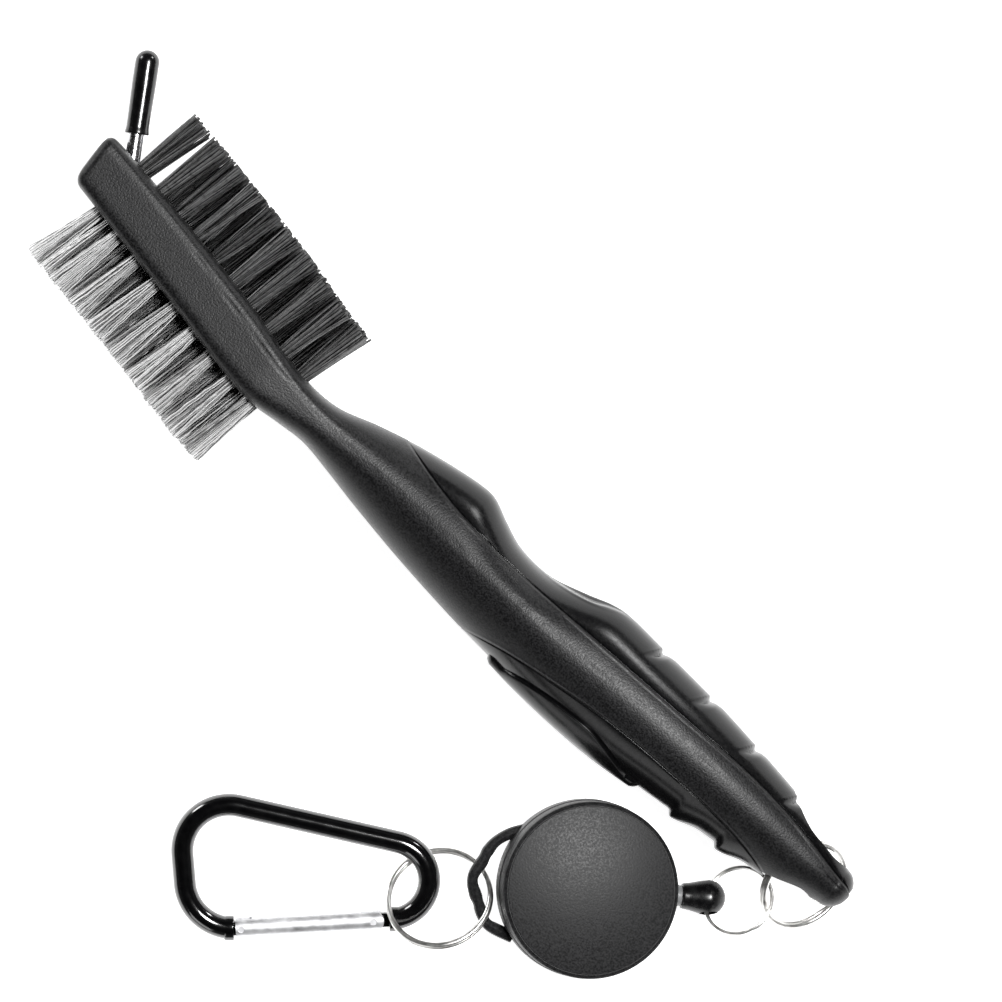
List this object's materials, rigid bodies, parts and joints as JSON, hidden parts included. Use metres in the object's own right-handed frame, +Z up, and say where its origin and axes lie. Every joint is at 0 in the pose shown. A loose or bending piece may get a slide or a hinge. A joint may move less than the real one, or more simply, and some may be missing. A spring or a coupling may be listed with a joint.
{
  "type": "golf club groove brush",
  "caption": "Two-sided golf club groove brush with nylon and wire bristles, capped spike, rubber grips, ring chain, retractable cord reel and carabiner.",
  "frame": {"origin": "on the table, under the middle of the whole object, lying on the brush's flat side", "axes": "+X along the brush to its head, +Y to the wire-bristle side, +Z up from the table"},
  "size_m": [0.198, 0.1088, 0.022],
  "materials": {
    "black_pp": "moulded polypropylene, fine satin grain",
    "black_rubber": "satin overmoulded rubber",
    "nylon": "black nylon filament",
    "steel_wire": "bright crimped wire",
    "staple_brass": "brass anchor wire",
    "steel": "bright drawn steel",
    "vinyl": "dipped vinyl, glossy",
    "nickel": "nickel plated steel wire",
    "reel_abs": "fine textured ABS",
    "spool_pom": "natural acetal",
    "spring_steel": "blued spring strip",
    "cord_nylon": "braided cord",
    "bar_black": "glossy black anodised aluminium",
    "bar_silver": "brushed natural aluminium"
  },
  "bodies": {
    "brush": {"handle_core": "black_pp", "thumb_grip": "black_rubber", "palm_grip": "black_rubber", "nylon_tufts": "nylon", "wire_tufts": "steel_wire", "nylon_anchors": "staple_brass", "wire_anchors": "staple_brass", "spike": "steel"},
    "cap": {"spike_cap": "vinyl"},
    "tail_ring": {"tail_ring": "nickel"},
    "cord_ring": {"cord_ring": "nickel"},
    "cord_end": {"cord_end": "vinyl", "cord_crimp": "staple_brass", "cord_tail": "cord_nylon"},
    "reel": {"reel_back": "reel_abs", "reel_front": "reel_abs", "reel_axle": "steel", "reel_spring": "spring_steel", "exit_bush": "nickel"},
    "spool": {"reel_spool": "spool_pom", "cord_winding": "cord_nylon"},
    "split_ring": {"split_ring": "nickel"},
    "carabiner": {"carabiner_body": "bar_black", "hinge_rivet": "steel"},
    "gate": {"carabiner_gate": "bar_silver", "catch_pin": "steel", "gate_spring": "spring_steel", "gate_plunger": "steel"}
  },
  "joints": [
    {"name": "cap_pull", "type": "slide", "parent": "brush", "child": "cap", "axis": [0.5835, -0.8121, 0], "range_m": [0, 0.018]},
    {"name": "tail_ring_swing", "type": "hinge", "parent": "brush", "child": "tail_ring", "pos_m": [-0.0855, -0.02805, 0.0119], "axis": [0, 1, 0], "range_deg": [0, 12]},
    {"name": "cord_ring_swing", "type": "hinge", "parent": "tail_ring", "child": "cord_ring", "pos_m": [-0.08846, -0.02082, 0.00877], "axis": [-0.6826, 0.454, -0.5727], "range_deg": [-15, 8]},
    {"name": "cord_end_swing", "type": "hinge", "parent": "cord_ring", "child": "cord_end", "pos_m": [-0.08088, -0.01464, 0.00445], "axis": [0.6456, -0.7196, -0.2556], "range_deg": [-8, 8]},
    {"name": "cord_pull", "type": "slide", "parent": "cord_end", "child": "reel", "axis": [0.7621, 0.6282, 0.1564], "range_m": [0, 0.6], "stiffness_N_per_m": 1, "springref_m": -1},
    {"name": "spool_turn", "type": "hinge", "parent": "reel", "child": "spool", "pos_m": [-0.06388, -0.00063, 0.00794], "axis": [-0.1207, -0.0995, 0.9877], "range_deg": [0, 3174]},
    {"name": "split_ring_swing", "type": "hinge", "parent": "reel", "child": "split_ring", "pos_m": [-0.04657, 0.01364, 0.00694], "axis": [0.6361, -0.7716, 0], "range_deg": [-6, 5]},
    {"name": "carabiner_swing", "type": "hinge", "parent": "split_ring", "child": "carabiner", "pos_m": [-0.03923, 0.02577, 0.0036], "axis": [0.5762, -0.6932, -0.433], "range_deg": [-4, 6]},
    {"name": "gate_open", "type": "hinge", "parent": "carabiner", "child": "gate", "pos_m": [-0.04021, 0.03061, 0.00229], "axis": [0.1089, -0.1123, -0.9877], "range_deg": [0, 28], "stiffness_Nm_per_rad": 0.03, "springref_deg": -34.38}
  ],
  "couplings": [
    {"joint": "spool_turn", "follows": "cord_pull", "rad_per_m": 91.743}
  ]
}
